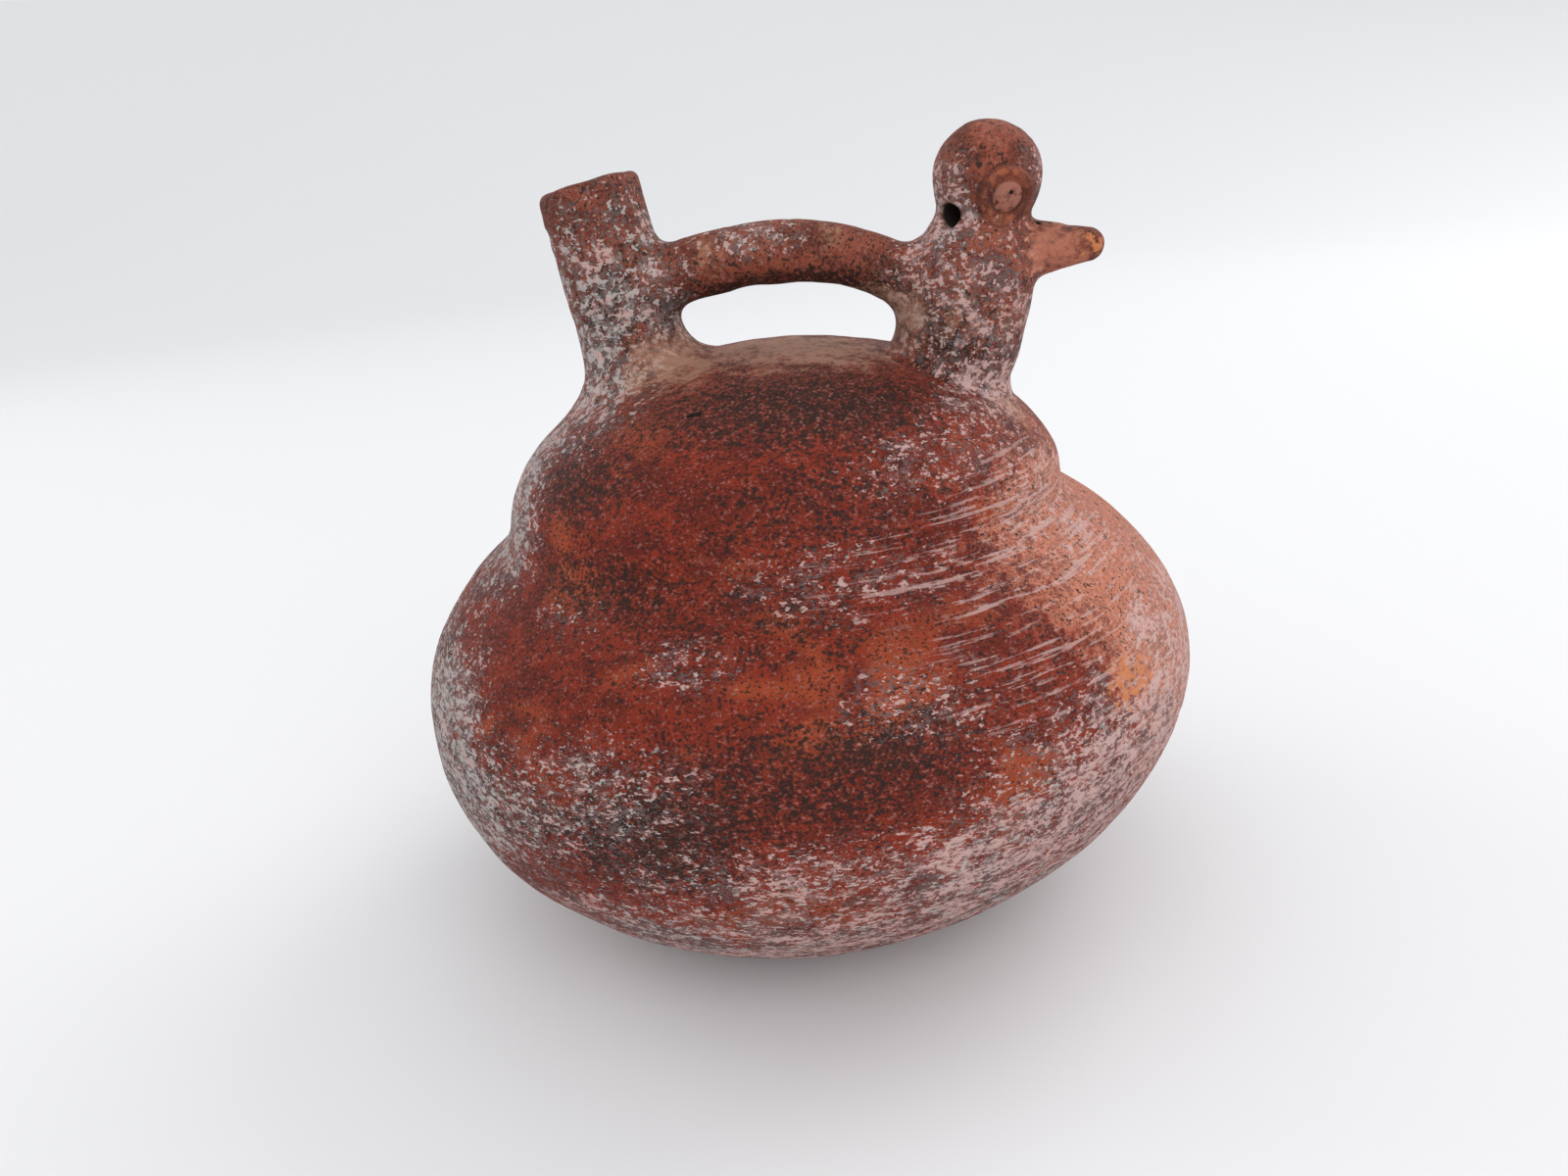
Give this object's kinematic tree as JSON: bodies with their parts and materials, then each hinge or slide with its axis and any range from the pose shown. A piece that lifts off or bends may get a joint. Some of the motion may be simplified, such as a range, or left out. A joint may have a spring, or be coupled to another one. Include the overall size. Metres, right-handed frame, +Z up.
{
  "type": "spouted terracotta vessel",
  "caption": "Round burnished red clay vessel with a domed shoulder, an open spout, a bridge handle and a neck that ends in a duck's head whistle.",
  "frame": {"origin": "middle of the flat underside that the vessel stands on", "axes": "+Z up, +X the way the duck looks, so the spout is towards -X"},
  "size_m": [0.1838, 0.1834, 0.1826],
  "materials": {
    "vessel": "burnished red slip, worn, with pale deposits"
  },
  "bodies": {
    "root": {"vessel": "vessel"}
  },
  "joints": []
}
